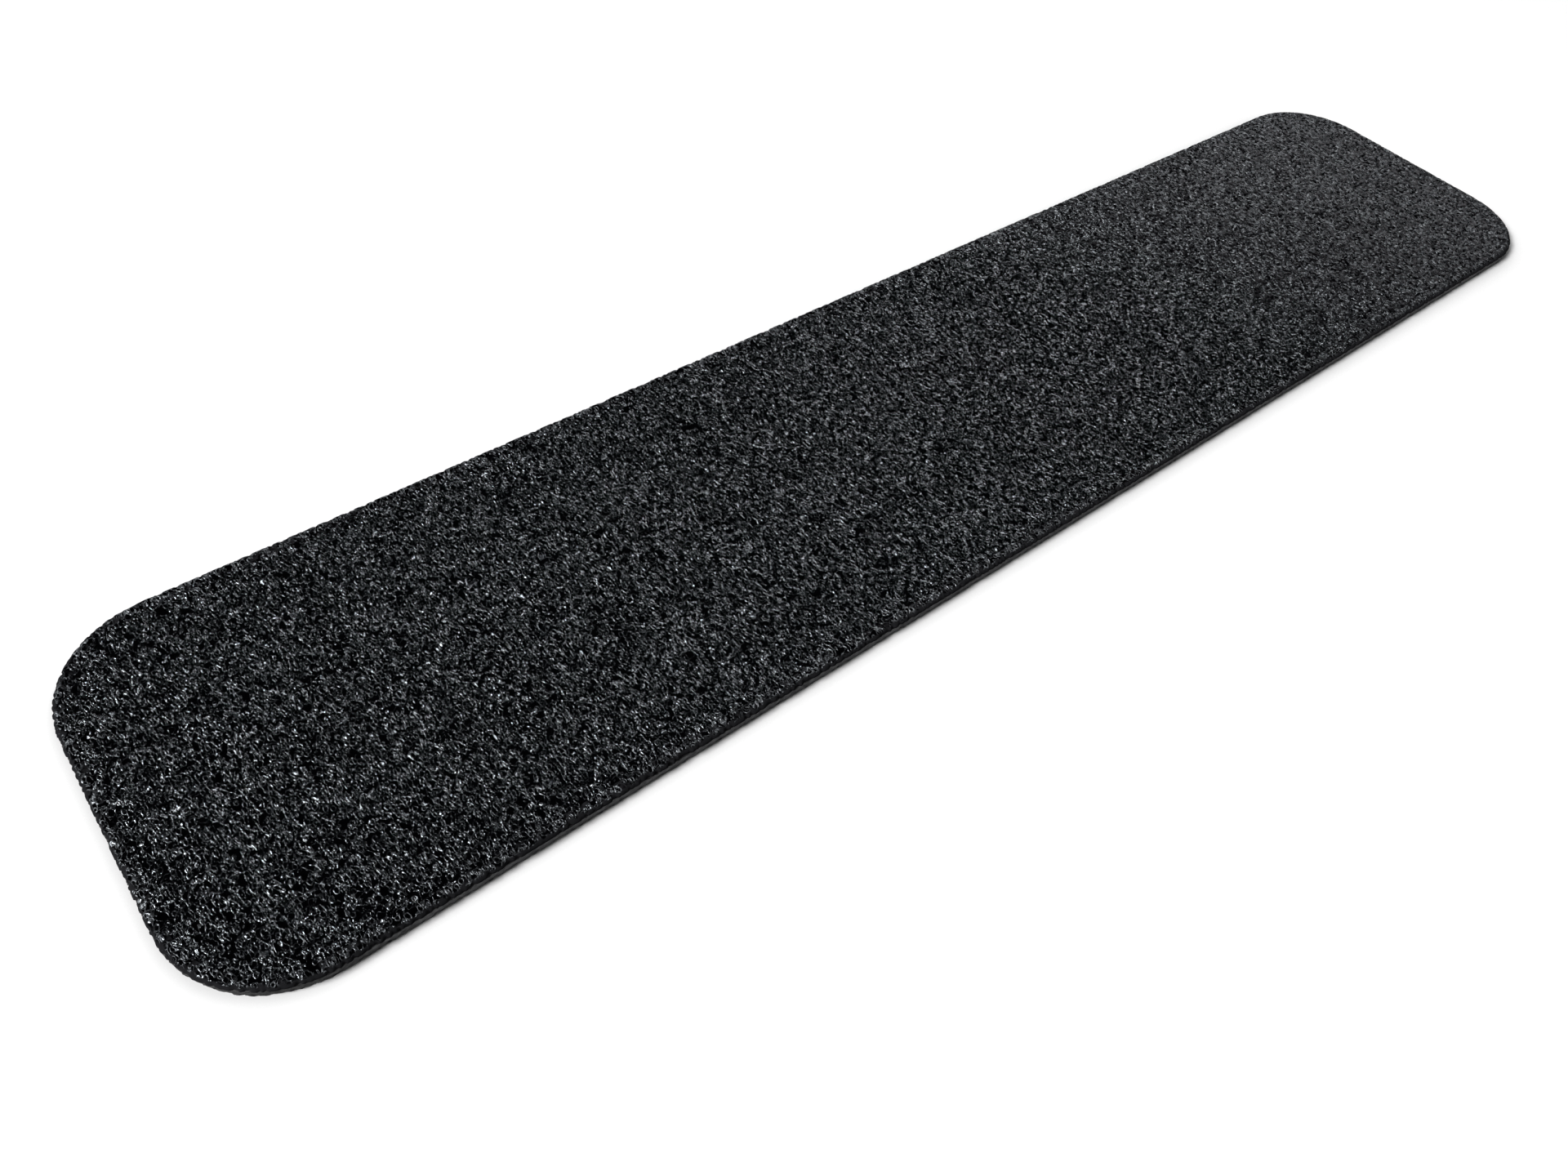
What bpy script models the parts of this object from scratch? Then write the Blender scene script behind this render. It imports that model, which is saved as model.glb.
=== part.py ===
"""Anti-slip step grip: a flat rubber strip with round corners under a coarse coat of grit.

Lengths are in metres and +Z is up. The origin is at the middle of the underside, the length
of the strip runs along X and its width along Y.
"""

import math
import random

import bmesh
import bpy
from mathutils import Vector
from mathutils.geometry import delaunay_2d_cdt

# Outline of the strip, seen from above
LENGTH = 0.450
WIDTH = 0.100
CORNER_RADIUS = 0.025

# Backing, the smooth rubber strip that lies on the step
BACKING_THICKNESS = 0.0020
BACKING_EDGE_ROUND = 0.0003

# Coat, the layer of resin and mineral grit on the backing
COAT_THICKNESS = 0.0014
COAT_SETBACK = 0.0005
SHOULDER_WIDTH = 0.0012

# Grit, the rough relief of the coat's top
GRIT_DEPTH = 0.0005
GRIT_PITCH = 0.0036
GRIT_JITTER = 0.36
GRIT_SEED = 11

# Fineness of the meshes
CORNER_STEPS = 10
EDGE_STEP = 0.0062
ROUND_STEPS = 2
SHOULDER_STEPS = 3

# Finishes: base colour, roughness
BACKING_FINISH = ((0.036, 0.037, 0.040), 0.85)
COAT_FINISH = ((0.012, 0.012, 0.014), 0.38)


def clear_scene():
    """Remove every object of the scene."""
    for thing in list(bpy.data.objects):
        bpy.data.objects.remove(thing, do_unlink=True)


def finish(name, colour, roughness):
    """Return a material with one plain colour and roughness."""
    material = bpy.data.materials.new(name)
    material.use_nodes = True
    shader = material.node_tree.nodes["Principled BSDF"]
    shader.inputs["Base Color"].default_value = (*colour, 1.0)
    shader.inputs["Roughness"].default_value = roughness
    shader.inputs["Metallic"].default_value = 0.0
    return material


def outline(inset):
    """Return the strip's outline moved inwards by inset, as anticlockwise points in the plane.

    Every inset gives the same number of points, so two such outlines match point by point.
    """
    radius = CORNER_RADIUS - inset
    corner_x = LENGTH / 2 - CORNER_RADIUS
    corner_y = WIDTH / 2 - CORNER_RADIUS
    corners = [(corner_x, corner_y), (-corner_x, corner_y), (-corner_x, -corner_y), (corner_x, -corner_y)]
    points = []
    for quarter, (x, y) in enumerate(corners):
        for step in range(CORNER_STEPS + 1):
            turn = math.radians(90 * (quarter + step / CORNER_STEPS))
            points.append(Vector((x + radius * math.cos(turn), y + radius * math.sin(turn))))
        straight = 2 * (corner_x if quarter % 2 == 0 else corner_y)
        spans = max(1, round(straight / EDGE_STEP))
        along = Vector((math.cos(turn + math.pi / 2), math.sin(turn + math.pi / 2)))
        points += [points[-1] + along * straight * span / spans for span in range(1, spans)]
    return points


def inside_by(point, inset):
    """Return how far a point lies inside the outline at that inset; outside is negative."""
    over = Vector((abs(point.x) - LENGTH / 2 + CORNER_RADIUS, abs(point.y) - WIDTH / 2 + CORNER_RADIUS))
    beyond = Vector((max(over.x, 0.0), max(over.y, 0.0))).length
    return CORNER_RADIUS - beyond - min(max(over), 0.0) - inset


def add_ring(bm, inset, height):
    """Add the vertices of one outline at a height and return them."""
    return [bm.verts.new((point.x, point.y, height)) for point in outline(inset)]


def join_rings(bm, lower, upper):
    """Add the smooth wall of faces between two rings, facing out."""
    for i in range(len(lower)):
        bm.faces.new((lower[i - 1], lower[i], upper[i], upper[i - 1])).smooth = True


def add_walls(bm, section):
    """Add rings up a section of (inset, height) pairs, with walls between, and return the rings."""
    rings = [add_ring(bm, inset, height) for inset, height in section]
    for lower, upper in zip(rings, rings[1:]):
        join_rings(bm, lower, upper)
    return rings


def as_object(bm, name, material):
    """Turn the mesh into a named object with its material."""
    mesh = bpy.data.meshes.new(name)
    bm.to_mesh(mesh)
    bm.free()
    mesh.materials.append(material)
    thing = bpy.data.objects.new(name, mesh)
    bpy.context.scene.collection.objects.link(thing)
    return thing


def build_backing():
    """Build the rubber strip: flat top and underside, cut edge with slightly rounded rims."""
    turns = [math.radians(90 * step / ROUND_STEPS) for step in range(ROUND_STEPS + 1)]
    round_in = [BACKING_EDGE_ROUND * (1 - math.sin(turn)) for turn in turns]
    round_up = [BACKING_EDGE_ROUND * (1 - math.cos(turn)) for turn in turns]
    lower_rim = list(zip(round_in, round_up))
    upper_rim = [(inset, BACKING_THICKNESS - height) for inset, height in reversed(lower_rim)]
    bm = bmesh.new()
    rings = add_walls(bm, lower_rim + upper_rim)
    bm.faces.new(reversed(rings[0]))
    bm.faces.new(rings[-1])
    return as_object(bm, "backing", finish("backing_rubber", *BACKING_FINISH))


def grit_points(inset):
    """Return jittered points of a triangular grid that lie well inside the outline at inset."""
    chance = random.Random(GRIT_SEED)
    row_pitch = GRIT_PITCH * math.sqrt(3) / 2
    rows = math.ceil(WIDTH / 2 / row_pitch)
    columns = math.ceil(LENGTH / 2 / GRIT_PITCH)
    points = []
    for row in range(-rows, rows + 1):
        for column in range(-columns, columns + 1):
            drift = [chance.uniform(-GRIT_JITTER, GRIT_JITTER) * GRIT_PITCH for _ in range(2)]
            shift = 0.5 * (row % 2)
            point = Vector(((column + shift) * GRIT_PITCH + drift[0], row * row_pitch + drift[1]))
            if inside_by(point, inset) > GRIT_PITCH / 2:
                points.append(point)
    return points


def add_grit(bm, rim, inset, top):
    """Close the coat inside its rim with the rough grit relief, whose peaks reach top."""
    chance = random.Random(GRIT_SEED + 1)
    flat = [vert.co.xy for vert in rim] + grit_points(inset)
    rim_edges = [(i, (i + 1) % len(rim)) for i in range(len(rim))]
    places, _, triangles, sources, _, _ = delaunay_2d_cdt(flat, rim_edges, [], 1, 1e-7)
    verts = []
    for place, source in zip(places, sources):
        if source[0] < len(rim):
            verts.append(rim[source[0]])
        else:
            verts.append(bm.verts.new((place.x, place.y, top - GRIT_DEPTH * chance.random())))
    for triangle in triangles:
        bm.faces.new([verts[i] for i in triangle])


def build_grit_coat():
    """Build the coat: flat foot on the backing, rounded shoulder and rough top."""
    top = BACKING_THICKNESS + COAT_THICKNESS
    rise = COAT_THICKNESS - GRIT_DEPTH / 2
    section = [(COAT_SETBACK, BACKING_THICKNESS)]
    for step in range(1, SHOULDER_STEPS + 1):
        turn = math.radians(90 * step / SHOULDER_STEPS)
        inset = COAT_SETBACK + SHOULDER_WIDTH * (1 - math.cos(turn))
        section.append((inset, BACKING_THICKNESS + rise * math.sin(turn)))
    bm = bmesh.new()
    rings = add_walls(bm, section)
    bm.faces.new(reversed(rings[0]))
    add_grit(bm, rings[-1], COAT_SETBACK + SHOULDER_WIDTH, top)
    return as_object(bm, "grit_coat", finish("grit_coat_resin", *COAT_FINISH))


def main():
    """Build the step grip."""
    clear_scene()
    build_backing()
    build_grit_coat()


main()
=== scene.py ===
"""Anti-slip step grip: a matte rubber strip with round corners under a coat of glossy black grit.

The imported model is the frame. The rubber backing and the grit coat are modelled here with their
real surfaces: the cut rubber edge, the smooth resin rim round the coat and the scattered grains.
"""

import logging
import math
from dataclasses import dataclass, field
from enum import Enum
from typing import Any, Callable, Optional, Union

import bpy
import numpy as np
from mathutils import Matrix, Vector


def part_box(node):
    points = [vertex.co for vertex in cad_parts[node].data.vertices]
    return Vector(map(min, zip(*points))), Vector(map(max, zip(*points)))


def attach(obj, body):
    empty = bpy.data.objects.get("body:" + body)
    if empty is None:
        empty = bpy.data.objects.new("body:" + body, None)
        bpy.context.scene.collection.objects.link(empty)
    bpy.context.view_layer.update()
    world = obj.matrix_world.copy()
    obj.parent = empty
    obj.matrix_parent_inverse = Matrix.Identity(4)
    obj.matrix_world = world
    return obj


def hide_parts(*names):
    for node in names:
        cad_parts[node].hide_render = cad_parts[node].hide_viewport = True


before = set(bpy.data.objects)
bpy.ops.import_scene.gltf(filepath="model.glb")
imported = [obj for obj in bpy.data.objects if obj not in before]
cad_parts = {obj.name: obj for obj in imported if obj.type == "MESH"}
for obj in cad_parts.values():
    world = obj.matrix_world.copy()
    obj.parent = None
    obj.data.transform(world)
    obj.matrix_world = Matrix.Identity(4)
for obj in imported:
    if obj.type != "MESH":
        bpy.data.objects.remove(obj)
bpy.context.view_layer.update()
LOG = logging.getLogger("step_grip")

MM = 0.001
Number = Union[int, float]
Colour = tuple[float, float, float, float]
Settings = dict[str, Any]
Links = dict[Union[str, int], Any]


class Layer(Enum):
    """The two layers of the strip, by their node in the frame."""

    BACKING = "backing"
    COAT = "grit_coat"


class Grain(Enum):
    """The kinds of mineral grain: share of all grains, stretch, flatness of the top, tilt."""

    BLUNT = (0.50, 1.15, 0.30, 0.18)
    SHARD = (0.30, 1.70, 0.10, 0.34)
    CHIP = (0.20, 1.35, 0.55, 0.42)

    def __init__(self, share: float, stretch: float, flat: float, tilt: float) -> None:
        """Name the four numbers of a kind.

        Args:
            share: The kind's share of all grains.
            stretch: Its length over its width.
            flat: The part of its reach that its flat top takes.
            tilt: How far its top leans, for each reach.
        """
        self.share = share
        self.stretch = stretch
        self.flat = flat
        self.tilt = tilt


class Ray(Enum):
    """The kinds of ray that see the stage as it looks, by the Light Path output's name."""

    CAMERA = "Is Camera Ray"
    GLOSSY = "Is Glossy Ray"
    TRANSMISSION = "Is Transmission Ray"


class Wire:
    """An output socket that takes part in Python expressions, each of which adds a Math node."""

    def __init__(self, bench: "Bench", socket: bpy.types.NodeSocket) -> None:
        """Keep the socket, and the bench whose tree it is in."""
        self.bench = bench
        self.socket = socket

    def __add__(self, other: "Term") -> "Wire":
        """Return the sum."""
        return self.bench.maths("ADD", self, other)

    def __radd__(self, other: "Term") -> "Wire":
        """Return the sum with a number on the left."""
        return self.bench.maths("ADD", other, self)

    def __sub__(self, other: "Term") -> "Wire":
        """Return the difference."""
        return self.bench.maths("SUBTRACT", self, other)

    def __rsub__(self, other: "Term") -> "Wire":
        """Return the difference from a number on the left."""
        return self.bench.maths("SUBTRACT", other, self)

    def __mul__(self, other: "Term") -> "Wire":
        """Return the product."""
        return self.bench.maths("MULTIPLY", self, other)

    def __rmul__(self, other: "Term") -> "Wire":
        """Return the product with a number on the left."""
        return self.bench.maths("MULTIPLY", other, self)

    def __abs__(self) -> "Wire":
        """Return the size without its sign."""
        return self.bench.maths("ABSOLUTE", self)

    def __pow__(self, other: "Term") -> "Wire":
        """Return the power."""
        return self.bench.maths("POWER", self, other)

    def larger(self, other: "Term") -> "Wire":
        """Return the larger of the two."""
        return self.bench.maths("MAXIMUM", self, other)

    def ramp(self, low: float, high: float) -> "Wire":
        """Return 0 up to low, 1 from high on, and a smooth rise between.

        Args:
            low: Where the rise starts.
            high: Where the rise ends, which may lie below low.

        Returns:
            The rise.
        """
        settings = {"interpolation_type": "SMOOTHSTEP"}
        links = {"Value": self, "From Min": low, "From Max": high}
        return self.bench.add("ShaderNodeMapRange", settings, links)


Term = Union[Wire, Number]


class Bench:
    """Makes the nodes of one material or world."""

    # A Mix node's sockets for colours, by number, because its other kinds share their names
    MIX_FACTOR = 0
    MIX_FIRST_COLOUR = 6
    MIX_SECOND_COLOUR = 7
    MIX_COLOUR = 2

    def __init__(self, tree: bpy.types.NodeTree) -> None:
        """Keep the node tree to fill, and clear it."""
        self.tree = tree
        tree.nodes.clear()

    def node(self, kind: str, settings: Settings, links: Links) -> bpy.types.Node:
        """Add a node with its settings, then its values and links.

        Args:
            kind: The node's type.
            settings: The node's own properties.
            links: A number, tuple or wire for each input, by its name or number.

        Returns:
            The node.
        """
        node = self.tree.nodes.new(kind)
        for name, value in settings.items():
            setattr(node, name, value)
        for name, value in links.items():
            if isinstance(value, Wire):
                self.tree.links.new(value.socket, node.inputs[name])
            else:
                node.inputs[name].default_value = value
        return node

    def add(self, kind: str, settings: Settings, links: Links, output: Union[str, int] = 0) -> Wire:
        """Add a node in the same way and return one of its outputs, by its name or number."""
        return Wire(self, self.node(kind, settings, links).outputs[output])

    def maths(self, operation: str, *terms: Term) -> Wire:
        """Return one operation on numbers or wires."""
        return self.add("ShaderNodeMath", {"operation": operation}, dict(enumerate(terms)))

    def mix(self, factor: Term, first: Any, second: Any) -> Wire:
        """Return a blend of colours or wires: the first where the factor is 0, the second at 1."""
        links = {self.MIX_FACTOR: factor, self.MIX_FIRST_COLOUR: first, self.MIX_SECOND_COLOUR: second}
        return self.add("ShaderNodeMix", {"data_type": "RGBA"}, links, self.MIX_COLOUR)

    def place(self) -> Wire:
        """Return the object's own coordinates, in metres."""
        return self.add("ShaderNodeTexCoord", {}, {}, "Object")

    def axes(self, vector: Wire) -> tuple[Wire, ...]:
        """Return a vector's X, Y and Z."""
        split = self.node("ShaderNodeSeparateXYZ", {}, {"Vector": vector})
        return tuple(Wire(self, socket) for socket in split.outputs)

    def stretched(self, place: Wire, stretch: float) -> Wire:
        """Return coordinates in which every pattern is longer along Y by the given factor."""
        links = {0: place, 1: (1.0, 1.0 / stretch, 1.0)}
        return self.add("ShaderNodeVectorMath", {"operation": "MULTIPLY"}, links)

    def noise(self, place: Wire, size: float, detail: float = 2.0, twist: float = 0.0,
              seed: float = 0.0) -> Wire:
        """Return noise from 0 to 1, its features that size in metres; a seed gives another pattern."""
        links = {"Vector": place, "W": seed, "Scale": 1.0 / size, "Detail": detail, "Distortion": twist}
        return self.add("ShaderNodeTexNoise", {"noise_dimensions": "4D"}, links)

    def wander(self, place: Wire, size: float, reach: float) -> Wire:
        """Return coordinates that are moved about smoothly at random.

        Args:
            place: The coordinates.
            size: The size of the swerves in metres.
            reach: The width of the range that they move in, in metres.

        Returns:
            The coordinates.
        """
        links = {"Vector": place, "Scale": 1.0 / size, "Detail": 1.0}
        swerve = self.add("ShaderNodeTexNoise", {"noise_dimensions": "3D"}, links, "Color")
        links = {0: swerve, 1: (reach,) * 3, 2: place}
        return self.add("ShaderNodeVectorMath", {"operation": "MULTIPLY_ADD"}, links)

    def cells(self, place: Wire, size: float, output: str = "Distance") -> Wire:
        """Return the "Distance", in spacings, to the nearest of scattered points, or its "Color"."""
        links = {"Vector": place, "Scale": 1.0 / size}
        return self.add("ShaderNodeTexVoronoi", {"feature": "F1"}, links, output)

    def bump(self, height: Wire, depth: float, below: Optional[Wire] = None) -> Wire:
        """Return a normal bent by a height pattern.

        Args:
            height: The pattern, from 0 to 1.
            depth: The height in metres where the pattern is 1.
            below: An earlier bump that this one lies on.

        Returns:
            The normal.
        """
        links: Links = {"Height": height, "Distance": depth}
        if below is not None:
            links["Normal"] = below
        return self.add("ShaderNodeBump", {}, links)

    def surface(self, shader: Wire) -> None:
        """Link a shader to the material's surface."""
        self.node("ShaderNodeOutputMaterial", {}, {"Surface": shader})

    def seen_ray(self) -> Wire:
        """Return 1 for a ray that sees the stage: from the camera, a mirror or clear glass.

        Returns:
            1 for such a ray and 0 for the others.
        """
        path = self.node("ShaderNodeLightPath", {}, {})
        camera, glossy, clear = (Wire(self, path.outputs[ray.value]) for ray in Ray)
        return camera.larger(glossy).larger(clear)


def new_material(name: str, build: Callable[[Bench], None]) -> bpy.types.Material:
    """Return a material whose tree the given function fills.

    Args:
        name: The material's name.
        build: A function that adds the nodes.

    Returns:
        The material.
    """
    material = bpy.data.materials.new(name)
    material.use_nodes = True
    build(Bench(material.node_tree))
    return material


@dataclass(frozen=True)
class RubberFinish:
    """Matte dark grey rubber: dusty mottling and fine pebbles, with painted shade, near black, along the
    top of its edge and over its -X end.
    """

    dark: Colour = (0.055, 0.056, 0.058, 1.0)
    pale: Colour = (0.125, 0.127, 0.130, 1.0)
    # Painted shade, near black, for the top of the cut edge and for the -X end
    resin: Colour = (0.006, 0.006, 0.0065, 1.0)
    mottle: float = 1.6 * MM
    mottle_from: float = 0.35
    mottle_to: float = 0.68
    pebble: float = 0.45 * MM
    pebble_depth: float = 0.05 * MM
    run_size: float = 1.6 * MM
    run_reach: float = 0.8 * MM
    run_from: float = 1.65 * MM
    run_to: float = 1.85 * MM
    end_reach: float = 32.0 * MM
    end_from: float = -185.0 * MM
    end_to: float = -212.0 * MM
    sole: float = 0.1 * MM
    roughness: float = 0.55
    roughness_range: float = 0.25
    ior: float = 1.5

    def material(self) -> bpy.types.Material:
        """Return the rubber's material."""
        return new_material("backing_rubber", self._build)

    def _build(self, bench: Bench) -> None:
        """Add the rubber's nodes.

        Args:
            bench: The bench that makes them.
        """
        place = bench.place()
        x, _, z = bench.axes(place)
        cloud = bench.noise(place, self.mottle, detail=4.0, twist=0.3)
        pebbles = bench.noise(place, self.pebble, detail=3.0, seed=4.0)
        run = bench.noise(place, self.run_size, seed=9.0) - 0.5
        # Painted shade: near black over the top of the cut edge, under the coat's shoulder, and over the
        # -X end, with wavy borders; not on the underside
        painted_shade_top = (z + self.run_reach * run).ramp(self.run_from, self.run_to)
        end = (x + self.end_reach * run).ramp(self.end_from, self.end_to) * z.ramp(0.0, self.sole)
        rubber = bench.mix(cloud.ramp(self.mottle_from, self.mottle_to), self.dark, self.pale)
        colour = bench.mix(painted_shade_top.larger(end), rubber, self.resin)
        rough = self.roughness + self.roughness_range * pebbles
        normal = bench.bump(pebbles, self.pebble_depth)
        links = {"Base Color": colour, "Roughness": rough, "IOR": self.ior, "Normal": normal}
        bench.surface(bench.add("ShaderNodeBsdfPrincipled", {}, links))


@dataclass(frozen=True)
class GritFinish:
    """Glossy black resin over grit: curled ridges and rings round the grains, and black gaps.

    The low places and the gaps between ridges are painted shade, a dull near black that reflects
    nothing, dark as the foot; high ones catch the light, each grain in its own measure, and a painted
    grey sheen shows on the tops where the coat is seen at a slant.
    """

    name: str = "grit_coat"
    # Painted shade in the gaps and low places: near black that reflects nothing
    gap_painted_shade: Colour = (0.0006, 0.0006, 0.0008, 1.0)
    foot: Colour = (0.0006, 0.0006, 0.0008, 1.0)
    ridge: Colour = (0.0100, 0.0104, 0.0124, 1.0)
    mineral: Colour = (0.060, 0.062, 0.058, 1.0)
    # Painted sheen: grey on the tops where the coat is seen at a slant
    painted_sheen: Colour = (0.065, 0.0635, 0.068, 1.0)
    tint: Colour = (0.86, 0.92, 0.98, 1.0)
    stretch: float = 1.45
    ring_pitch: float = 1.12 * MM
    ring_radius: float = 0.42
    ring_width: float = 0.15
    curl_size: float = 1.32 * MM
    curl_width: float = 0.07
    swerve_size: float = 1.1 * MM
    swerve: float = 0.5 * MM
    ridge_height: float = 0.2 * MM
    pit_size: float = 0.35 * MM
    pit_depth: float = 0.01 * MM
    patch_size: float = 0.9 * MM
    stray_from: float = 0.79
    stray_to: float = 0.83
    grain_size: float = 0.7 * MM
    grain_from: float = 0.28
    grain_to: float = 0.70
    dullest: float = 0.2
    fade_from: float = 0.12
    fade_to: float = 0.9
    deep: float = 2.73 * MM
    high: float = 3.08 * MM
    fray_size: float = 1.3 * MM
    fray: float = 0.1 * MM
    slant_from: float = 0.42
    slant_to: float = 0.62
    painted_sheen_from: float = 3.0 * MM
    painted_sheen_to: float = 3.35 * MM
    slant_roughness: float = 0.12
    gap_roughness: float = 0.6
    ridge_roughness: float = 0.175
    roughness_range: float = 0.12
    ior: float = 2.6

    @classmethod
    def of_rim(cls) -> "GritFinish":
        """Return the finish of the rim: duller, with painted shade in dark grey over its foot, ragged
        where that ends.
        """
        # Painted shade over the rim's lower shoulder: dark grey, reflecting nothing
        foot = (0.014, 0.014, 0.0155, 1.0)
        return cls("grit_coat_rim", foot=foot, ridge_roughness=0.25, fray=1.2 * MM)

    def material(self) -> bpy.types.Material:
        """Return the grit's material."""
        return new_material(self.name, self._build)

    def _build(self, bench: Bench) -> None:
        """Add the grit's nodes.

        Args:
            bench: The bench that makes them.
        """
        place = bench.place()
        height = bench.axes(place)[2]
        fray = bench.noise(place, self.fray_size, detail=1.0, seed=5.0) - 0.5
        raised = (height + self.fray * fray).ramp(self.deep, self.high)
        slant = self._slant(bench)
        long = bench.stretched(place, self.stretch)
        bent = bench.wander(long, self.swerve_size, self.swerve)
        ridge = self._ridge(bench, long, bent)
        glossy = self._glossy(bench, long, ridge, slant)
        # Painted shade: a dull near black with no reflection for the low places and the gaps between
        # ridges
        painted_shade_sheen = bench.mix(raised, self.foot, self.gap_painted_shade)
        # Painted sheen: grey on the high tops where the coat is seen at a slant
        painted_shade_sheen = bench.mix(slant * height.ramp(self.painted_sheen_from, self.painted_sheen_to), painted_shade_sheen, self.painted_sheen)
        links = {"Base Color": painted_shade_sheen, "Diffuse Roughness": self.gap_roughness, "Specular IOR Level": 0.0}
        painted_shade_sheen_bsdf = bench.add("ShaderNodeBsdfPrincipled", {}, links)
        grain = bench.cells(bent, self.grain_size, "Color").ramp(self.grain_from, self.grain_to)
        gloss = (self.dullest + (1 - self.dullest) * grain) * raised
        # 1 where the glossy resin shows, 0 where the painted shade takes its place
        shown = ridge.ramp(self.fade_from, self.fade_to) * gloss
        bench.surface(bench.add("ShaderNodeMixShader", {}, {0: shown, 1: painted_shade_sheen_bsdf, 2: glossy}))

    def _slant(self, bench: Bench) -> Wire:
        """Return how far the coat as a whole is seen at a slant.

        Args:
            bench: The bench that makes the nodes.

        Returns:
            0 where it faces the viewer and 1 where it is seen at a slant.
        """
        settings = {"vector_type": "NORMAL", "convert_from": "OBJECT", "convert_to": "WORLD"}
        upwards = bench.add("ShaderNodeVectorTransform", settings, {"Vector": (0.0, 0.0, 1.0)})
        facing = bench.add("ShaderNodeLayerWeight", {}, {"Blend": 0.5, "Normal": upwards}, "Facing")
        return facing.ramp(self.slant_from, self.slant_to)

    def _ridge(self, bench: Bench, long: Wire, bent: Wire) -> Wire:
        """Return the ridges' height, from 0 to 1.

        Args:
            bench: The bench that makes the nodes.
            long: The stretched coordinates, for the curls.
            bent: The same, moved about at random, for the rings.

        Returns:
            The height.
        """
        off_ring = abs(bench.cells(bent, self.ring_pitch) - self.ring_radius)
        off_curl = abs(bench.noise(long, self.curl_size, detail=1.0, twist=0.8) - 0.5)
        ring = 1 - off_ring.ramp(0.0, self.ring_width)
        curl = 1 - off_curl.ramp(0.0, self.curl_width)
        return ring.larger(curl)

    def _glossy(self, bench: Bench, long: Wire, ridge: Wire, slant: Wire) -> Wire:
        """Return the resin's shader.

        Args:
            bench: The bench that makes the nodes.
            long: The stretched coordinates.
            ridge: The ridges' height.
            slant: 1 where the coat is seen at a slant.

        Returns:
            The shader.
        """
        pits = bench.noise(long, self.pit_size, twist=0.2, seed=3.0)
        patch = bench.noise(long, self.patch_size, detail=1.0, seed=7.0)
        stray = bench.noise(long, self.patch_size, detail=0.0, seed=11.0)
        colour = bench.mix(stray.ramp(self.stray_from, self.stray_to), self.ridge, self.mineral)
        rough = self.ridge_roughness + self.roughness_range * patch + self.slant_roughness * slant
        normal = bench.bump(pits, self.pit_depth, bench.bump(ridge, self.ridge_height))
        links = {"Base Color": colour, "Roughness": rough, "Normal": normal}
        links |= {"IOR": self.ior, "Specular Tint": self.tint}
        return bench.add("ShaderNodeBsdfPrincipled", {}, links)


@dataclass(frozen=True)
class FloorFinish:
    """Plain pale paper in a white room, with a painted shadow at the strip's foot, where ambient
    occlusion dims the glow that shows the paper white.
    """

    colour: Colour = (0.60, 0.60, 0.60, 1.0)
    under_glow: Colour = (0.0, 0.0, 0.0, 1.0)
    lift: float = 0.46
    shade_reach: float = 20.0 * MM
    shade_power: float = 4.0
    shade_samples: int = 8

    def material(self) -> bpy.types.Material:
        """Return the floor's material."""
        return new_material("white_floor", self._build)

    def _build(self, bench: Bench) -> None:
        """Add the floor's nodes.

        Args:
            bench: The bench that makes them.
        """
        paper = bench.add("ShaderNodeBsdfDiffuse", {}, {"Color": self.colour})
        # Painted shadow: ambient occlusion dims the white glow near the strip; the paper also takes the
        # lamps' real shadow
        settings, links = {"samples": self.shade_samples}, {"Distance": self.shade_reach}
        painted_shadow_ao = bench.add("ShaderNodeAmbientOcclusion", settings, links, "AO")
        links = {"Base Color": self.under_glow, "Specular IOR Level": 0.0}
        links |= {"Emission Color": painted_shadow_ao ** self.shade_power, "Emission Strength": self.lift}
        glow = bench.add("ShaderNodeBsdfPrincipled", {}, links)
        lit = bench.add("ShaderNodeAddShader", {}, {0: paper, 1: glow})
        links = {0: bench.seen_ray(), 1: paper, 2: lit}
        bench.surface(bench.add("ShaderNodeMixShader", {}, links))


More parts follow.
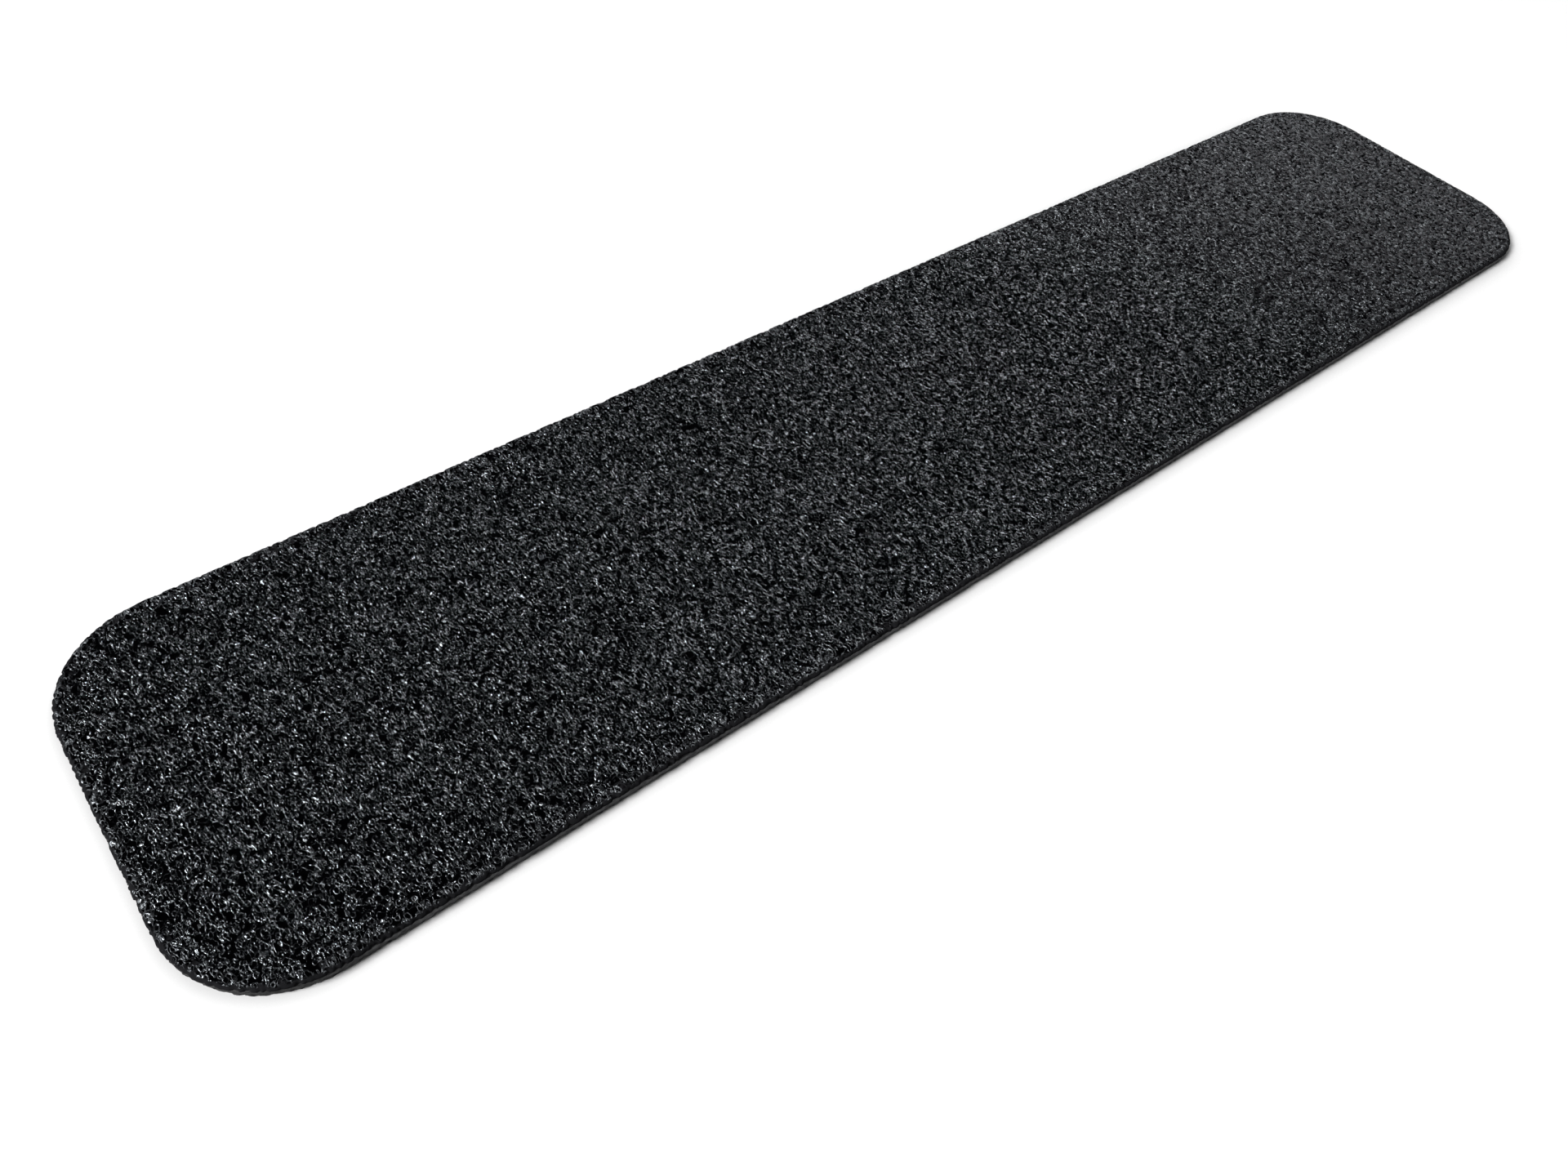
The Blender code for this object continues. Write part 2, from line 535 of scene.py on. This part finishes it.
@dataclass
class Outline:
    """The strip's outline from above, a rectangle with round corners, and what lies inside it."""

    # How near to the outermost line a point has to be to lie on it
    TOUCH = 0.001 * MM

    half_length: float
    half_width: float
    radius: float

    @classmethod
    def of_node(cls, node: str) -> "Outline":
        """Measure the outline of a node of the frame.

        Args:
            node: The node's name.

        Returns:
            Its outline. The corner's radius is what its straight long side leaves of its length.
        """
        _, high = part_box(node)
        points = np.array([vert.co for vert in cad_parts[node].data.vertices])
        side = points[points[:, 1] > high.y - cls.TOUCH]
        return cls(high.x, high.y, high.x - float(side[:, 0].max()))

    @property
    def core(self) -> tuple[float, float]:
        """Return the half sizes of the rectangle through the corners' centres."""
        return self.half_length - self.radius, self.half_width - self.radius

    @property
    def around(self) -> float:
        """Return the length all the way round."""
        x, y = self.core
        return 4 * (x + y) + math.tau * self.radius

    def trace(self, steps: int) -> tuple[np.ndarray, np.ndarray]:
        """Walk round the outline in even steps, anticlockwise from the +X side.

        Args:
            steps: The number of points.

        Returns:
            The points, and the outward directions there.
        """
        x, y = self.core
        quarter = math.pi / 2 * self.radius
        runs = [
            (2 * y, (x, -y), (0, 1)),
            (2 * x, (x, y), (-1, 0)),
            (2 * y, (-x, y), (0, -1)),
            (2 * x, (-x, -y), (1, 0)),
        ]
        along = (np.arange(steps) + 0.5) * self.around / steps
        centres = np.zeros((steps, 2))
        turns = np.zeros(steps)
        start = 0.0
        for side, (length, corner, way) in enumerate(runs):
            straight = (along >= start) & (along < start + length)
            centres[straight] = np.array(corner) + np.outer(along[straight] - start, way)
            turns[straight] = side * math.pi / 2
            start += length
            bend = (along >= start) & (along < start + quarter)
            centres[bend] = np.array(corner) + np.array(way) * length
            turns[bend] = side * math.pi / 2 + (along[bend] - start) / self.radius
            start += quarter
        out = np.stack([np.cos(turns), np.sin(turns)], 1)
        return centres + self.radius * out, out

    def depth(self, points: np.ndarray) -> np.ndarray:
        """Measure how far points lie inside the outline.

        Args:
            points: The points, of which X and Y count.

        Returns:
            Their distances from the outline; outside is negative.
        """
        x, y = self.core
        over = np.abs(points[:, :2]) - np.array([x, y])
        beyond = np.hypot(*np.maximum(over, 0.0).T)
        return self.radius - beyond - np.minimum(over.max(1), 0.0)


@dataclass
class GritField:
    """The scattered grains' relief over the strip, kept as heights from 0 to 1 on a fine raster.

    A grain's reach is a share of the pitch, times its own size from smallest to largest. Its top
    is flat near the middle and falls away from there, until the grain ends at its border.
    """

    outline: Outline
    pitch: float = 1.02 * MM
    drift: float = 0.34
    cell: float = 0.125 * MM
    reach: float = 0.74
    smallest: float = 0.75
    largest: float = 1.2
    lowest: float = 0.55
    highest: float = 1.0
    drop: float = 1.05
    border: float = 1.3
    window: float = 1.5
    floor_percent: float = 1.0
    peak_percent: float = 99.9
    seed: int = 3
    chance: np.random.Generator = field(init=False, repr=False)
    corner: np.ndarray = field(init=False, repr=False)
    raster: np.ndarray = field(init=False, repr=False)

    def __post_init__(self) -> None:
        """Work out the raster."""
        self.chance = np.random.default_rng(self.seed)
        self.corner = np.array([-self.outline.half_length, -self.outline.half_width]) - 2 * self.pitch
        spans = -2 * self.corner / self.cell
        self.raster = np.zeros((int(spans[1]) + 2, int(spans[0]) + 2))
        self._stamp(self._centres())
        self._soften()

    def _centres(self) -> np.ndarray:
        """Scatter the grains' centres.

        Returns:
            The points of a triangular grid, each moved at random.
        """
        rows = int(-self.corner[1] / self.pitch / math.sin(math.pi / 3)) + 1
        columns = int(-self.corner[0] / self.pitch) + 1
        row, column = np.mgrid[-rows:rows + 1, -columns:columns + 1]
        x = (column + 0.5 * (row % 2)) * self.pitch
        y = row * self.pitch * math.sin(math.pi / 3)
        centres = np.stack([x.ravel(), y.ravel()], 1)
        centres += self.chance.uniform(-self.drift, self.drift, centres.shape) * self.pitch
        return centres

    def _stamp(self, centres: np.ndarray) -> None:
        """Raise the raster to each grain's shape where the grain is the higher of the two.

        Args:
            centres: The grains' centres.
        """
        count = len(centres)
        kinds = list(Grain)
        kind = self.chance.choice(len(kinds), count, p=[grain.share for grain in kinds])
        shapes = np.array([(grain.stretch, grain.flat, grain.tilt) for grain in kinds])
        stretch, flat, tilt = shapes[kind].T
        size = self.reach * self.pitch * self.chance.uniform(self.smallest, self.largest, count)
        top = self.chance.uniform(self.lowest, self.highest, count)
        turn = self.chance.uniform(0, math.tau, count)
        lean = self.chance.uniform(0, math.tau, count)
        steps = int(self.window * self.reach * self.pitch / self.cell)
        home = np.rint((centres - self.corner) / self.cell).astype(int)
        for down in range(-steps, steps + 1):
            for across in range(-steps, steps + 1):
                column = home[:, 0] + across
                row = home[:, 1] + down
                dx = column * self.cell + self.corner[0] - centres[:, 0]
                dy = row * self.cell + self.corner[1] - centres[:, 1]
                u = (dx * np.cos(turn) + dy * np.sin(turn)) / (size * np.sqrt(stretch))
                v = (dy * np.cos(turn) - dx * np.sin(turn)) / size * np.sqrt(stretch)
                far = np.maximum(np.hypot(u, v) - flat, 0.0) / (1 - flat)
                slope = tilt * (dx * np.cos(lean) + dy * np.sin(lean)) / size
                height = top + slope - self.drop * far * far
                fits = (far < self.border) & (column >= 0) & (row >= 0)
                fits &= (column < self.raster.shape[1]) & (row < self.raster.shape[0])
                np.maximum.at(self.raster, (row[fits], column[fits]), height[fits])

    def _soften(self) -> None:
        """Round the creases as the resin does, and scale the heights to run from 0 to 1."""
        for axis in (0, 1):
            before, after = np.roll(self.raster, 1, axis), np.roll(self.raster, -1, axis)
            self.raster = 0.25 * before + 0.5 * self.raster + 0.25 * after
        low, high = np.percentile(self.raster, [self.floor_percent, self.peak_percent])
        self.raster = np.clip((self.raster - low) / (high - low), 0.0, 1.0)

    def height(self, points: np.ndarray) -> np.ndarray:
        """Look up the relief, blended from the four cells round each point.

        Args:
            points: The points, of which X and Y count.

        Returns:
            The heights there, from 0 to 1.
        """
        place = (points[:, :2] - self.corner) / self.cell
        whole = np.floor(place).astype(int)
        column, row = whole.T
        right, up = (place - whole).T
        below = self.raster[row, column] * (1 - right) + self.raster[row, column + 1] * right
        above = self.raster[row + 1, column] * (1 - right) + self.raster[row + 1, column + 1] * right
        return below * (1 - up) + above * up


@dataclass
class Piece:
    """A mesh in the making: its points, smooth triangles and quads, and flat-shaded faces."""

    name: str
    points: np.ndarray
    triangles: np.ndarray
    quads: np.ndarray
    flats: list[np.ndarray]

    def make(self, material: bpy.types.Material, slot: str) -> bpy.types.Object:
        """Turn the arrays into an object that rides on the strip.

        Args:
            material: The piece's finish.
            slot: The record's slot for that finish; not used.

        Returns:
            The object.
        """
        parts = [self.triangles.ravel(), self.quads.ravel(), *self.flats]
        sizes = [3] * len(self.triangles) + [4] * len(self.quads) + [len(face) for face in self.flats]
        corners = np.concatenate(parts).astype(np.int32)
        starts = np.concatenate([[0], np.cumsum(sizes)[:-1]]).astype(np.int32)
        mesh = bpy.data.meshes.new(self.name)
        mesh.vertices.add(len(self.points))
        mesh.vertices.foreach_set("co", self.points.astype(np.float32).ravel())
        mesh.loops.add(len(corners))
        mesh.loops.foreach_set("vertex_index", corners)
        mesh.polygons.add(len(sizes))
        mesh.polygons.foreach_set("loop_start", starts)
        mesh.update(calc_edges=True)
        mesh.validate()
        smooth = np.ones(len(mesh.polygons), bool)
        smooth[len(self.triangles) + len(self.quads):] = False
        mesh.polygons.foreach_set("use_smooth", smooth)
        mesh.materials.append(material)
        thing = bpy.data.objects.new(self.name, mesh)
        bpy.context.scene.collection.objects.link(thing)
        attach(thing, "root")
        LOG.info("%s: %d faces", self.name, len(mesh.polygons))
        return thing


def ring_quads(first: np.ndarray, second: np.ndarray) -> np.ndarray:
    """Return the quads between two closed rings of point numbers, facing out if second is above."""
    return np.stack([first, np.roll(first, -1), np.roll(second, -1), second], 1)


def wall_quads(rings: list[np.ndarray]) -> np.ndarray:
    """Return the quads from each ring of point numbers to the next."""
    return np.concatenate([ring_quads(low, high) for low, high in zip(rings, rings[1:])])


@dataclass
class RubberBacking:
    """The rubber strip under the grit, with its knife-cut edge and plain underside.

    The edge wavers by a sum of sine waves, another one at each level of its section.
    """

    outline: Outline
    thickness: float
    finish: RubberFinish = field(default_factory=RubberFinish)
    step: float = 0.5 * MM
    edge_round: float = 0.25 * MM
    round_steps: int = 3
    wall_shares: tuple[float, ...] = (0.35, 0.5, 0.65)
    waver: float = 0.24 * MM
    waves: int = 16
    wave_limit: float = 6.0
    fewest_turns: int = 60
    most_turns: int = 800
    seed: int = 17

    def section(self) -> list[tuple[float, float]]:
        """Draw the edge's section.

        Returns:
            Its (inset, height) points, from the underside up to the flat top.
        """
        turns = [math.pi / 2 * step / self.round_steps for step in range(self.round_steps + 1)]
        foot = [(self.edge_round * (1 - math.sin(t)), self.edge_round * (1 - math.cos(t))) for t in turns]
        wall = [(0.0, self.thickness * share) for share in self.wall_shares]
        head = [(inset, self.thickness - height) for inset, height in reversed(foot)]
        return foot + wall + head

    def build(self) -> bpy.types.Object:
        """Build the backing and let it stand for its node.

        Returns:
            The backing.
        """
        steps = int(self.outline.around / self.step)
        edge, out = self.outline.trace(steps)
        chance = np.random.default_rng(self.seed)
        around = np.arange(steps) / steps * math.tau
        points = []
        for inset, height in self.section():
            turns = chance.integers(self.fewest_turns, self.most_turns, self.waves)
            phases = chance.uniform(0, math.tau, self.waves)
            total = np.sin(np.outer(around, turns) + phases).sum(1)
            pull = inset + self.waver * (1 + np.clip(total / self.wave_limit, -1.0, 1.0))
            points.append(np.column_stack([edge - out * pull[:, None], np.full(steps, height)]))
        rings = [np.arange(steps) + level * steps for level in range(len(points))]
        caps = [rings[0][::-1], rings[-1]]
        piece = Piece("rubber_backing", np.concatenate(points), np.empty((0, 3)), wall_quads(rings), caps)
        thing = piece.make(self.finish.material(), "backing_rubber")
        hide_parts(Layer.BACKING.value)
        return thing


@dataclass
class GritCoat:
    """The coat on the backing: a smooth resin rim, and sections of packed grit inside it.

    The coat rises over its rounded shoulder, and the grit grows out of the resin there. The rim
    reaches in to its lip, and sinks under the grit within the lap, where the grit rises from it.
    """

    outline: Outline
    foot: float
    top: float
    grit: GritField
    finish: GritFinish = field(default_factory=GritFinish)
    rim_finish: GritFinish = field(default_factory=GritFinish.of_rim)
    relief: float = 0.6 * MM
    resin_dip: float = 0.42
    shoulder: float = 1.25 * MM
    grit_from: float = 0.55
    grit_rise: float = 0.9
    swell: float = 0.49 * MM
    swell_gain: float = 1.6
    swell_inset: float = 0.3
    lip: float = 3.4 * MM
    lap: float = 1.5 * MM
    grit_lap: float = 0.8
    lap_dip: float = 0.8
    thinnest: float = 0.1 * MM
    rim_step: float = 0.34 * MM
    shoulder_rings: int = 6
    lip_rings: int = 9
    mesh_pitch: float = 0.345 * MM
    mesh_drift: float = 0.22
    mesh_seed: int = 29
    sections: int = 5

    def surface(self, points: np.ndarray) -> np.ndarray:
        """Work out the coat's height above its foot.

        Args:
            points: Points of the plane.

        Returns:
            The heights there.
        """
        depth = np.maximum(self.outline.depth(points), 0.0)
        share = np.clip(depth / self.shoulder, 0.0, 1.0)
        rounded = np.sqrt(np.clip(1 - (1 - share) ** 2, 0.0, 1.0))
        grown = (depth - self.grit_from * self.shoulder) / (self.grit_rise * self.shoulder)
        grown = np.clip(grown, 0.0, 1.0)
        grit = self.relief * (1 - self.grit.height(points)) * grown
        resin = self.resin_dip * self.relief * (1 - grown)
        return rounded * (self.top - self.foot - resin) - grit

    def build_rim(self, material: bpy.types.Material) -> bpy.types.Object:
        """Build the closed ring of resin round the coat's edge.

        Args:
            material: The rim's finish.

        Returns:
            The rim.
        """
        steps = int(self.outline.around / self.rim_step)
        edge, out = self.outline.trace(steps)
        shares = 1 - np.cos(np.linspace(0, math.pi / 2, self.shoulder_rings))
        beyond = np.linspace(self.shoulder, self.lip, self.lip_rings)
        insets = np.concatenate([shares * self.shoulder, beyond[1:]])
        grains = self.grit.height(edge - out * self.swell_inset * self.shoulder)
        bulge = out * (self.swell * np.clip(self.swell_gain * grains, 0.0, 1.0))[:, None]
        points = [np.column_stack([edge + bulge, np.full(steps, self.foot)])]
        for inset in insets[1:]:
            flat = edge - out * inset
            sink = self.lap_dip * self.relief * max(0.0, (inset - self.lip + self.lap) / self.lap)
            height = self.foot + np.maximum(self.surface(flat) - sink, self.thinnest)
            flat += bulge * max(0.0, 1 - inset / self.shoulder)
            points.append(np.column_stack([flat, height]))
        inner = edge - out * self.lip
        points.append(np.column_stack([inner, np.full(steps, self.foot)]))
        rings = [np.arange(steps) + level * steps for level in range(len(points))]
        quads = wall_quads([*rings, rings[0]])
        piece = Piece("coat_rim", np.concatenate(points), np.empty((0, 3)), quads, [])
        return piece.make(material, "grit_coat")

    def grid(self) -> tuple[np.ndarray, np.ndarray]:
        """Lay a triangular grid over the strip inside the rim's shoulder.

        Returns:
            The grid's points in the plane, and its triangles.
        """
        pitch = self.mesh_pitch
        row_pitch = pitch * math.sin(math.pi / 3)
        rows = int(self.outline.half_width / row_pitch)
        columns = int(self.outline.half_length / pitch)
        row, column = np.mgrid[-rows:rows + 1, -columns:columns + 1]
        points = np.stack([(column + 0.5 * (row % 2)) * pitch, row * row_pitch], -1)
        chance = np.random.default_rng(self.mesh_seed)
        drift = chance.uniform(-self.mesh_drift, self.mesh_drift, points.shape)
        points = (points + drift * pitch).reshape(-1, 2)
        number = np.arange(len(points)).reshape(row.shape)
        a, b = number[:-1, :-1], number[:-1, 1:]
        c, d = number[1:, :-1], number[1:, 1:]
        even = (row[:-1, :-1] % 2) == 0
        first = np.stack([a, b, np.where(even, c, d)], -1)
        second = np.stack([np.where(even, b, a), d, c], -1)
        triangles = np.concatenate([first.reshape(-1, 3), second.reshape(-1, 3)])
        inside = self.outline.depth(points) > self.shoulder
        return points, triangles[inside[triangles].all(1)]

    def build_sections(self, material: bpy.types.Material) -> list[bpy.types.Object]:
        """Build the grit inside the rim, as closed slabs side by side along the strip.

        Args:
            material: The coat's finish.

        Returns:
            The slabs.
        """
        flat, triangles = self.grid()
        depth = self.outline.depth(flat) - self.shoulder
        sink = self.lap_dip * self.relief * np.clip(1 - depth / (self.grit_lap * self.lap), 0.0, 1.0)
        height = self.foot + np.maximum(self.surface(flat) - sink, self.thinnest)
        place = flat[triangles, 0].mean(1)
        ends = np.linspace(-self.outline.half_length, self.outline.half_length, self.sections + 1)
        made = []
        for number, (start, end) in enumerate(zip(ends, ends[1:]), 1):
            mine = triangles[(place >= start) & (place < end)]
            used, local = np.unique(mine, return_inverse=True)
            points = np.column_stack([flat[used], height[used]])
            piece = close_slab(f"grit_section_{number}", points, local.reshape(-1, 3), self.foot)
            made.append(piece.make(material, "grit_coat"))
        return made

    def build(self) -> list[bpy.types.Object]:
        """Build the coat and let it stand for its node.

        Returns:
            The coat's pieces.
        """
        made = [self.build_rim(self.rim_finish.material())]
        made += self.build_sections(self.finish.material())
        for thing in made:
            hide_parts(Layer.COAT.value)
        return made


def close_slab(name: str, points: np.ndarray, triangles: np.ndarray, floor: float) -> Piece:
    """Close a sheet of triangles downwards to a flat floor.

    Args:
        name: The piece's name.
        points: The sheet's points.
        triangles: The sheet's triangles, facing up.
        floor: The floor's height.

    Returns:
        The closed piece.
    """
    ends = np.concatenate([triangles[:, [0, 1]], triangles[:, [1, 2]], triangles[:, [2, 0]]])
    twins = {(int(a), int(b)) for a, b in ends}
    following = {a: b for a, b in twins if (b, a) not in twins}
    loops = []
    while following:
        start, now = following.popitem()
        loop = [start, now]
        while now in following:
            now = following.pop(now)
            loop.append(now)
        loops.append(np.array(loop[:-1] if loop[-1] == start else loop))
    all_points = [points]
    flats = []
    count = len(points)
    for loop in loops:
        below = np.arange(len(loop)) + count
        count += len(loop)
        all_points.append(np.column_stack([points[loop, :2], np.full(len(loop), floor)]))
        flats += [*ring_quads(below, loop), below[::-1]]
    return Piece(name, np.concatenate(all_points), triangles, np.empty((0, 4)), flats)


@dataclass(frozen=True)
class Softbox:
    """A rectangular soft lamp that faces the strip, its angles in degrees from +X and the floor."""

    name: str
    azimuth: float
    elevation: float
    radiance: float
    away: float = 3.0
    width: float = 1.2
    height: float = 0.8

    def hang(self) -> None:
        """Add the lamp to the scene."""
        lamp = bpy.data.lights.new(self.name, "AREA")
        lamp.shape = "RECTANGLE"
        lamp.size = self.width
        lamp.size_y = self.height
        lamp.energy = self.radiance * math.pi * self.width * self.height
        turn = math.radians(self.azimuth)
        rise = math.radians(self.elevation)
        way = Vector((math.cos(turn) * math.cos(rise), math.sin(turn) * math.cos(rise), math.sin(rise)))
        thing = bpy.data.objects.new(self.name, lamp)
        thing.location = way * self.away
        thing.rotation_mode = "QUATERNION"
        thing.rotation_quaternion = way.to_track_quat("Z", "Y")
        bpy.context.scene.collection.objects.link(thing)


@dataclass(frozen=True)
class Room:
    """The room's light, pale towards the right and dim to the left and overhead, and white to see."""

    tone: Colour = (0.97, 0.985, 1.0, 1.0)
    backdrop: Colour = (1.0, 1.0, 1.0, 1.0)
    dim: float = 0.009
    pale: float = 0.079
    pale_x: float = 0.95
    pale_y: float = 0.31
    pale_from: float = -0.1
    pale_to: float = 0.8
    overhead_loss: float = 0.6
    overhead_from: float = 0.45
    overhead_to: float = 0.85

    def build(self) -> None:
        """Build the scene's world."""
        world = bpy.data.worlds.new("room")
        bpy.context.scene.world = world
        world.use_nodes = True
        bench = Bench(world.node_tree)
        x, y, z = bench.axes(bench.add("ShaderNodeTexCoord", {}, {}, "Generated"))
        right = (self.pale_x * x + self.pale_y * y).ramp(self.pale_from, self.pale_to)
        overhead = z.ramp(self.overhead_from, self.overhead_to)
        level = self.dim + self.pale * right * (1 - self.overhead_loss * overhead)
        light = bench.add("ShaderNodeBackground", {}, {"Color": self.tone, "Strength": level})
        white = bench.add("ShaderNodeBackground", {}, {"Color": self.backdrop, "Strength": 1.0})
        camera = bench.add("ShaderNodeLightPath", {}, {}, Ray.CAMERA.value)
        both = bench.add("ShaderNodeMixShader", {}, {0: camera, 1: light, 2: white})
        bench.node("ShaderNodeOutputWorld", {}, {"Surface": both})


@dataclass
class Studio:
    """The white floor, the soft lamps, the room's light and the camera."""

    floor_size: float = 2.0
    floor_drop: float = 0.02 * MM
    lens: float = 26.819
    nearest: float = 10.0 * MM
    azimuth: float = -43.877
    elevation: float = 50.896
    roll: float = 7.464
    distance: float = 274.411 * MM
    target: tuple[float, float, float] = (-80.010 * MM, -25.007 * MM, 0.0)
    finish: FloorFinish = field(default_factory=FloorFinish)
    room: Room = field(default_factory=Room)
    lamps: tuple[Softbox, ...] = (
        Softbox("left_softbox", 168.0, 36.0, 54.5),
        Softbox("right_softbox", 36.0, 21.0, 6.5),
    )

    def build_floor(self) -> None:
        """Build the floor, which isn't part of the object."""
        half = self.floor_size / 2
        corners = [(-half, -half), (half, -half), (half, half), (-half, half)]
        mesh = bpy.data.meshes.new("floor")
        mesh.from_pydata([(x, y, -self.floor_drop) for x, y in corners], [], [(0, 1, 2, 3)])
        mesh.materials.append(self.finish.material())
        floor = bpy.data.objects.new("floor", mesh)
        bpy.context.scene.collection.objects.link(floor)

    def build_camera(self) -> None:
        """Set the camera where the photograph was taken from."""
        turn, rise, roll = (math.radians(a) for a in (self.azimuth, self.elevation, self.roll))
        back = Vector((math.sin(turn) * math.cos(rise), -math.cos(turn) * math.cos(rise), math.sin(rise)))
        level = Vector((0, 0, 1)).cross(back).normalized()
        upright = back.cross(level)
        right = level * math.cos(roll) + upright * math.sin(roll)
        up = upright * math.cos(roll) - level * math.sin(roll)
        spot = Vector(self.target) + back * self.distance
        data = bpy.data.cameras.new("camera")
        data.lens = self.lens
        data.clip_start = self.nearest
        camera = bpy.data.objects.new("camera", data)
        camera.matrix_world = Matrix.Translation(spot) @ Matrix((right, up, back)).transposed().to_4x4()
        bpy.context.scene.collection.objects.link(camera)
        bpy.context.scene.camera = camera

    def build(self) -> None:
        """Build the whole stage."""
        bpy.context.scene.view_settings.view_transform = "Standard"
        self.build_floor()
        self.room.build()
        for lamp in self.lamps:
            lamp.hang()
        self.build_camera()
        LOG.info("stage: floor, room, lamps and camera")


def main() -> None:
    """Build the stage and the strip's layers in order."""
    logging.basicConfig(level=logging.INFO, format="%(name)s: %(message)s")
    Studio().build()
    backing_low, backing_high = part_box(Layer.BACKING.value)
    RubberBacking(Outline.of_node(Layer.BACKING.value), backing_high.z - backing_low.z).build()
    outline = Outline.of_node(Layer.COAT.value)
    coat_low, coat_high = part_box(Layer.COAT.value)
    GritCoat(outline, coat_low.z, coat_high.z, GritField(outline)).build()


if __name__ == "__main__":
    main()
